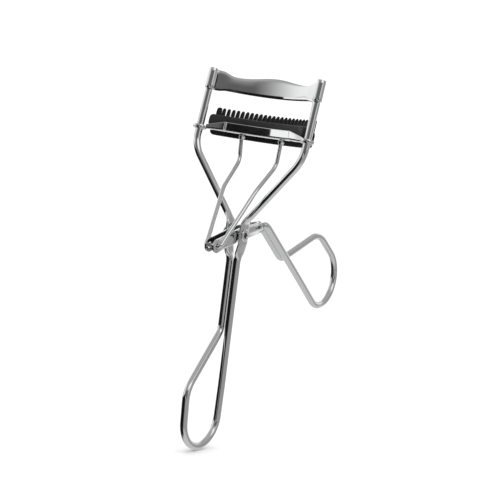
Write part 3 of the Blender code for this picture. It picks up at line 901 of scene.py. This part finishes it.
def build_floor():
    shape = bmesh.new()
    bmesh.ops.create_circle(shape, cap_ends=True, segments=96, radius=FLOOR_RADIUS)
    floor = bpy.data.objects.new("floor", mesh_from("floor", shape))
    floor.data.materials.append(pale_floor())
    floor.location.z = cad_bounds[0].z - 0.0001
    floor.visible_glossy = False
    bpy.context.scene.collection.objects.link(floor)


def build_camera():
    """A long lens to the right of the curler and a little above it, tilted on its axis."""
    angles = (FRONT_BEARING, CAMERA_ELEVATION, CAMERA_ROLL)
    azimuth, elevation, roll = (math.radians(angle) for angle in angles)
    towards = Vector(
        (
            math.sin(azimuth) * math.cos(elevation),
            -math.cos(azimuth) * math.cos(elevation),
            math.sin(elevation),
        )
    )
    right = Vector((math.cos(azimuth), math.sin(azimuth), 0))
    up = towards.cross(right)
    rolled_right = right * math.cos(roll) + up * math.sin(roll)
    rolled_up = up * math.cos(roll) - right * math.sin(roll)
    camera = bpy.data.objects.new("camera", bpy.data.cameras.new("camera"))
    camera.data.sensor_width = 36
    camera.data.lens = CAMERA_LENS
    camera.data.shift_x, camera.data.shift_y = CAMERA_SHIFT
    camera.data.clip_start = 0.01
    placed = Matrix((rolled_right, rolled_up, towards)).transposed().to_4x4()
    placed.translation = to_world(towards * CAMERA_DISTANCE)
    camera.matrix_world = placed
    bpy.context.scene.collection.objects.link(camera)
    bpy.context.scene.camera = camera


class World(Nodes):
    """A white studio whose bright and dark zones show only in reflections."""

    def __init__(self):
        world = bpy.data.worlds.new("studio")
        world.use_nodes = True
        bpy.context.scene.world = world
        self.tree = world.node_tree
        self.tree.nodes.clear()
        coordinates = self.add("ShaderNodeTexCoord").outputs["Generated"]
        self.direction = self.add("ShaderNodeSeparateXYZ")
        self.link(coordinates, self.direction.inputs[0])
        self.coordinates = coordinates

    def along(self, bearing):
        """How far a direction points towards a compass bearing in degrees."""
        dot = self.add("ShaderNodeVectorMath", operation="DOT_PRODUCT")
        self.link(self.coordinates, dot.inputs[0])
        turn = math.radians(bearing)
        dot.inputs[1].default_value = (math.sin(turn), -math.cos(turn), 0)
        return dot.outputs["Value"]

    def bearing(self):
        """The angle of a direction round the studio, from FRONT_BEARING, in degrees."""
        angle = self.add("ShaderNodeMath", operation="ARCTAN2")
        self.link(self.along(FRONT_BEARING + 90), angle.inputs[0])
        self.link(self.along(FRONT_BEARING), angle.inputs[1])
        degrees = self.add("ShaderNodeMath", operation="DEGREES")
        self.link(angle.outputs[0], degrees.inputs[0])
        return degrees.outputs[0]

    def band(self, turn, out_low, in_low, in_high, out_high, outside, inside):
        """inside between two bearings and outside beyond them, with soft edges."""
        rising = self.soft(turn, out_low, in_low)
        falling = self.soft(turn, out_high, in_high)
        both = self.times(rising, falling)
        return self.soft(both, 0, 1, outside, inside)

    def soft(self, source, low, high, first=0.0, last=1.0):
        return self.ramp(source, low, high, first, last, interpolation_type="SMOOTHSTEP")

    def zone(self, turn, height, bearings, heights):
        """1 inside a range of bearings and heights, falling to 0 at its soft edges."""
        out_low, in_low, in_high, out_high = heights
        rising = self.soft(height, out_low, in_low)
        falling = self.soft(height, out_high, in_high)
        return self.times(self.band(turn, *bearings, 0.0, 1.0), self.times(rising, falling))

    def times(self, first, second):
        node = self.add("ShaderNodeMath", operation="MULTIPLY")
        self.link(first, node.inputs[0])
        self.link(second, node.inputs[1])
        return node.outputs[0]

    def mix(self, mask, under, over):
        """Brightness under, or over where mask is 1; over is a number or a socket."""
        node = self.add("ShaderNodeMix", data_type="FLOAT")
        self.link(mask, node.inputs[0])
        self.link(under, node.inputs[2])
        if isinstance(over, float):
            node.inputs[3].default_value = over
        else:
            self.link(over, node.inputs[3])
        return node.outputs[0]


# Each zone's bearings and heights (the sine of the elevation), both as outer, inner, inner and
# outer edges, then its brightness; the left side's is None, because it fades round the studio.
ZONES = (
    ((-80, -60, 15, 38), (0.0, 0.05, 0.36, 0.62), 0.12),  # dim front
    ((-150, -135, -50, -30), (0.14, 0.2, 0.42, 0.66), None),  # left side
    ((-150, -108, -30, 12), (-0.95, -0.75, 0.12, 0.2), 0.008),  # dark lower left
    ((-85, -65, 20, 32), (0.0, 0.03, 0.15, 0.2), 0.008),  # doorway
    ((-15, -13, -4, -2), (0.0, 0.03, 0.15, 0.2), 1.0),  # slit
    ((-122, -116, -79, -75), (-0.01, 0.02, 0.14, 0.2), 1.05),  # window
    ((30, 40, 54, 64), (0.1, 0.2, 0.4, 0.6), 0.65),  # stripe
    ((-2, 8, 52, 62), (0.4, 0.47, 0.68, 0.78), 1.1),  # softbox
)


def build_world():
    world = World()
    height = world.direction.outputs["Z"]
    turn = world.bearing()
    level = world.band(turn, -150, -115, 112, 150, 1.0, 0.34)
    level = world.mix(world.soft(height, 0.5, 0.75), level, 0.42)
    level = world.mix(world.soft(height, -0.35, -0.62), level, 0.6)
    left_fade = world.soft(turn, -30, -112, 0.13, 1.0)
    for bearings, heights, brightness in ZONES:
        mask = world.zone(turn, height, bearings, heights)
        level = world.mix(mask, level, left_fade if brightness is None else brightness)
    glossy = world.add("ShaderNodeLightPath").outputs["Is Glossy Ray"]
    chosen = world.add("ShaderNodeMix", data_type="FLOAT")
    chosen.inputs[2].default_value = SURROUND_BRIGHTNESS
    world.link(glossy, chosen.inputs[0])
    world.link(level, chosen.inputs[3])
    background = world.add("ShaderNodeBackground")
    background.inputs["Color"].default_value = (1, 1, 1, 1)
    world.link(chosen.outputs[0], background.inputs["Strength"])
    output = world.add("ShaderNodeOutputWorld")
    world.link(background.outputs[0], output.inputs["Surface"])


def build_light():
    light = bpy.data.lights.new("overhead_softbox", "AREA")
    light.shape = "RECTANGLE"
    light.size = SOFTBOX_SIZE
    light.size_y = SOFTBOX_SIZE
    light.energy = SOFTBOX_ENERGY
    softbox = bpy.data.objects.new("overhead_softbox", light)
    softbox.location = (0, 0, SOFTBOX_HEIGHT)
    softbox.visible_glossy = False
    bpy.context.scene.collection.objects.link(softbox)


build_object()
build_floor()
build_camera()
build_world()
build_light()
bpy.context.scene.view_settings.view_transform = "Standard"
